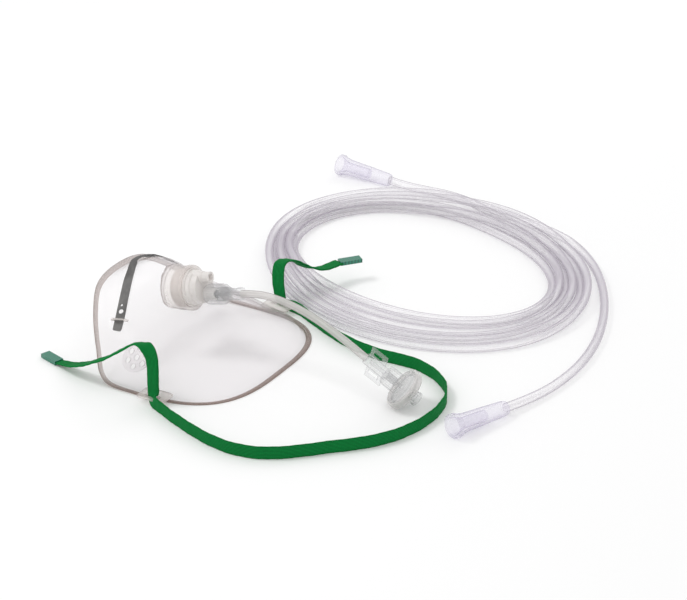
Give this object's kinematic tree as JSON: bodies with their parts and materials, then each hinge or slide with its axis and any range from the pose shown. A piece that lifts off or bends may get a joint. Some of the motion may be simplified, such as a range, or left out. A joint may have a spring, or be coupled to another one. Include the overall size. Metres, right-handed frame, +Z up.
{
  "type": "oxygen face mask with sampling line",
  "caption": "Clear face mask with nose clip, swivel inlet cap, gas sampling line with in-line filter, elastic strap and coiled supply tube.",
  "frame": {"origin": "centre of the mask's bounding box on the plane of its rim", "axes": "+X from the nose end to the chin, +Y across the face, +Z up from the rim"},
  "size_m": [0.2593, 0.3434, 0.0486],
  "materials": {
    "clear_shell": "clear soft vinyl, glossy",
    "nose_strip": "rolled strip",
    "frosted_cap": "natural polyethylene, frosted",
    "clear_fitting": "clear rigid plastic",
    "sample_line_vinyl": "clear soft vinyl",
    "membrane": "white porous film",
    "seal_band": "translucent overmoulding",
    "green_elastic": "woven elastic",
    "strap_tip": "crimped film sleeve",
    "supply_vinyl": "clear soft vinyl, faint lilac",
    "cuff_vinyl": "clear soft vinyl, faint violet"
  },
  "bodies": {
    "mask": {"mask_shell": "clear_shell", "nose_clip": "nose_strip", "strap_loop": "green_elastic", "strap_near_end": "green_elastic", "strap_far_end": "green_elastic", "strap_tip_near": "strap_tip", "strap_tip_far": "strap_tip"},
    "cap": {"inlet_cap": "frosted_cap"},
    "sampling_line": {"luer_adapter": "clear_fitting", "sample_tube": "sample_line_vinyl", "winged_luer": "clear_fitting"},
    "luer_nut": {"luer_lock_nut": "clear_fitting"},
    "line_filter": {"filter_inlet_half": "clear_fitting", "filter_membrane": "membrane", "filter_outlet_half": "clear_fitting", "filter_seal_band": "seal_band"},
    "supply_set": {"supply_tube_coil": "supply_vinyl", "supply_tube_lead_a": "supply_vinyl", "supply_tube_lead_b": "supply_vinyl", "cuff_connector_a": "cuff_vinyl", "cuff_connector_b": "cuff_vinyl"}
  },
  "joints": [
    {"name": "cap_swivel", "type": "hinge", "parent": "mask", "child": "cap", "pos_m": [-0.003, 0, 0.0368], "axis": [0.9703, 0, 0.2419], "continuous": true},
    {"name": "sampling_line_unplug", "type": "slide", "parent": "cap", "child": "sampling_line", "axis": [0.9703, 0, 0.2419], "range_m": [0, 0.006]},
    {"name": "luer_nut_spin", "type": "hinge", "parent": "sampling_line", "child": "luer_nut", "pos_m": [0.00626, 0, 0.03519], "axis": [0.9703, 0, 0.2419], "continuous": true},
    {"name": "filter_twist", "type": "hinge", "parent": "sampling_line", "child": "line_filter", "pos_m": [0.1266, -0.0007, 0.01], "axis": [0.6069, 0.4046, -0.6841], "range_deg": [0, 180]},
    {"name": "supply_set_slide", "type": "slide", "parent": "mask", "child": "supply_set", "axis": [0, 1, 0], "range_m": [0, 0.04]}
  ]
}
